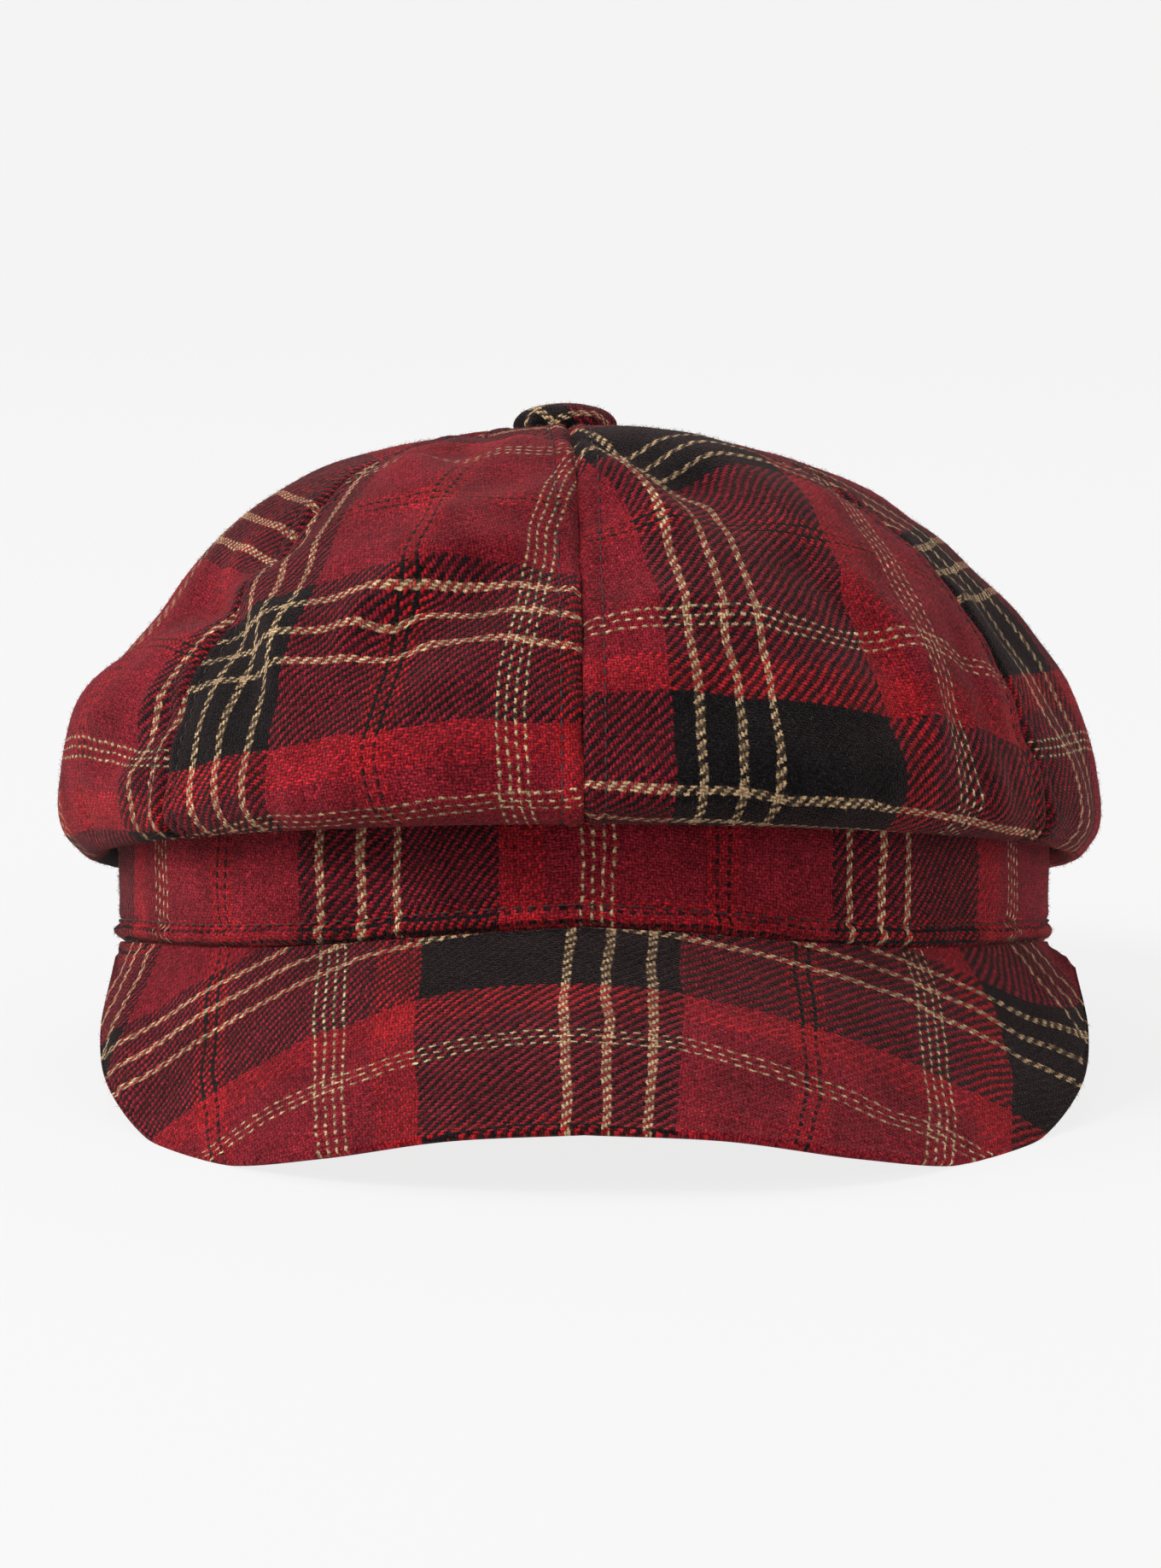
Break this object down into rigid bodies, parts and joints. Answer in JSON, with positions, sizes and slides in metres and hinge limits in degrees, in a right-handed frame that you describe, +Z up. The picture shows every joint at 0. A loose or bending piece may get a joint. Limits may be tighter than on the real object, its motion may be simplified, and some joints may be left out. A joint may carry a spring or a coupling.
{
  "type": "baker boy hat",
  "caption": "Soft panelled baker boy hat in tartan wool-blend cloth, with a full six-gore crown over a fitted band, a short curved peak and a covered top button.",
  "frame": {"origin": "centre of the hat's box, on the surface that it rests on", "axes": "+Z up as the hat lies on a table, -Y towards the peak and +X to the right in the picture's view, which is the wearer's left"},
  "size_m": [0.1982, 0.2684, 0.1225],
  "materials": {
    "crown_cloth": "brushed wool-blend twill, maroon, red, black and beige tartan",
    "band_cloth": "brushed wool-blend twill, the same tartan",
    "peak_cloth": "brushed wool-blend twill, the same tartan, over a firm peak",
    "button_cloth": "brushed wool-blend twill, the same tartan, drawn over a button"
  },
  "bodies": {
    "root": {"panel_front_right": "crown_cloth", "panel_right": "crown_cloth", "panel_back_right": "crown_cloth", "panel_back_left": "crown_cloth", "panel_left": "crown_cloth", "panel_front_left": "crown_cloth", "band": "band_cloth", "peak": "peak_cloth", "button": "button_cloth"}
  },
  "joints": []
}
